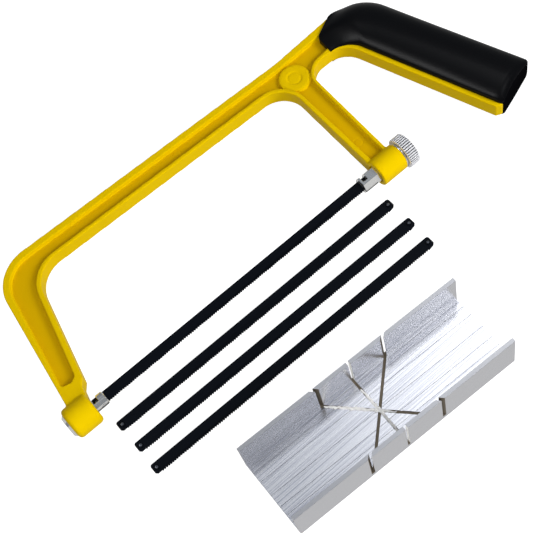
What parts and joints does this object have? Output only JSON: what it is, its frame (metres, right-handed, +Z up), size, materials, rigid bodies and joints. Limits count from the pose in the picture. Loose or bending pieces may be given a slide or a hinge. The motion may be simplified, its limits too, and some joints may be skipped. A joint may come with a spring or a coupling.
{
  "type": "miter box saw",
  "caption": "Junior hacksaw with a cast bow frame, pinned blade and knurled tension nut, laid out with spare blades and a slotted aluminium mitre box.",
  "frame": {"origin": "middle of the set's footprint, on the surface that the set lies on", "axes": "+X along the mounted blade towards the tension nut, +Y from the blade towards the spine, +Z up"},
  "size_m": [0.2546, 0.1793, 0.0205],
  "materials": {
    "yellow_casting": "satin powder coat",
    "black_grip": "satin moulded",
    "chrome": "bright plated",
    "knurled_chrome": "bright plated, knurled rim",
    "blade_steel": "dark painted",
    "pin_steel": "dark ground",
    "mill_aluminium": "mill finish, drawn lines"
  },
  "bodies": {
    "saw": {"frame": "yellow_casting", "grip": "black_grip", "front_anchor": "chrome", "thrust_washer": "chrome"},
    "drawbar": {"drawbar": "chrome"},
    "nut": {"tension_nut": "knurled_chrome"},
    "blade": {"blade": "blade_steel", "blade_front_pin": "pin_steel", "blade_rear_pin": "pin_steel"},
    "spare_1": {"spare_blade_1": "blade_steel", "spare_1_front_pin": "pin_steel", "spare_1_rear_pin": "pin_steel"},
    "spare_2": {"spare_blade_2": "blade_steel", "spare_2_front_pin": "pin_steel", "spare_2_rear_pin": "pin_steel"},
    "spare_3": {"spare_blade_3": "blade_steel", "spare_3_front_pin": "pin_steel", "spare_3_rear_pin": "pin_steel"},
    "mitre_box": {"mitre_box": "mill_aluminium"}
  },
  "joints": [
    {"name": "nut_turn", "type": "hinge", "parent": "saw", "child": "nut", "pos_m": [0.0586, 0.0103, 0.0085], "axis": [1, 0, 0], "range_deg": [0, 360]},
    {"name": "drawbar_slide", "type": "slide", "parent": "saw", "child": "drawbar", "axis": [1, 0, 0], "range_m": [-0.00082, 0]},
    {"name": "blade_swing", "type": "hinge", "parent": "saw", "child": "blade", "pos_m": [-0.1112, 0.0103, 0.0085], "axis": [0, 0, 1], "range_deg": [0, 22]},
    {"name": "spare_1_lift", "type": "slide", "parent": "saw", "child": "spare_1", "axis": [0, 0, 1], "range_m": [0, 0.06]},
    {"name": "spare_2_lift", "type": "slide", "parent": "saw", "child": "spare_2", "axis": [0, 0, 1], "range_m": [0, 0.06]},
    {"name": "spare_3_lift", "type": "slide", "parent": "saw", "child": "spare_3", "axis": [0, 0, 1], "range_m": [0, 0.06]},
    {"name": "mitre_box_lift", "type": "slide", "parent": "saw", "child": "mitre_box", "axis": [0, 0, 1], "range_m": [0, 0.06]}
  ],
  "couplings": [
    {"joint": "drawbar_slide", "follows": "nut_turn", "m_per_rad": -0.0001273}
  ]
}
